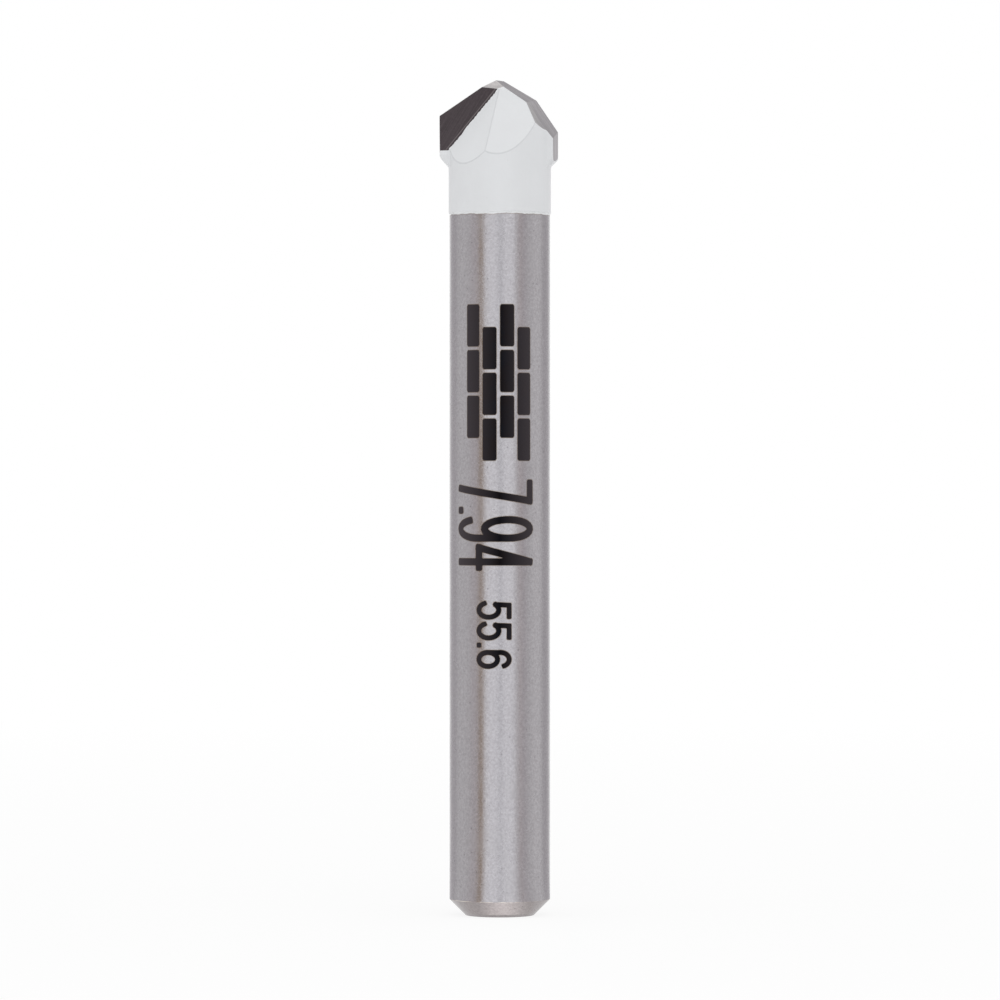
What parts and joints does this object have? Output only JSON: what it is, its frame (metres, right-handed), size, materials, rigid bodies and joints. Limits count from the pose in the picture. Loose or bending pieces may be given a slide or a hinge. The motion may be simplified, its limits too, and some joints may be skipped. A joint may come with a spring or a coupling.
{
  "type": "masonry drill bit",
  "caption": "Short straight-shank masonry bit: a round steel shank with a chamfered tail and a brazed carbide head with wings, white paint and a ground tip.",
  "frame": {"origin": "centre of the tail face, on the drill's axis, where the bit stands", "axes": "+Z along the drill's axis from the tail to the tip, -Y towards the side with the bevelled wing on its right"},
  "size_m": [0.0079, 0.0068, 0.0556],
  "materials": {
    "shank_steel": "centreless-ground satin steel with fine scratches round it",
    "braze_metal": "smooth pale braze alloy",
    "carbide": "ground tungsten carbide, fine-grained and satin",
    "white_paint": "thin satin white paint"
  },
  "bodies": {
    "root": {"shank": "shank_steel", "braze_joint": "braze_metal", "carbide_head": "carbide", "paint_coat": "white_paint"}
  },
  "joints": []
}
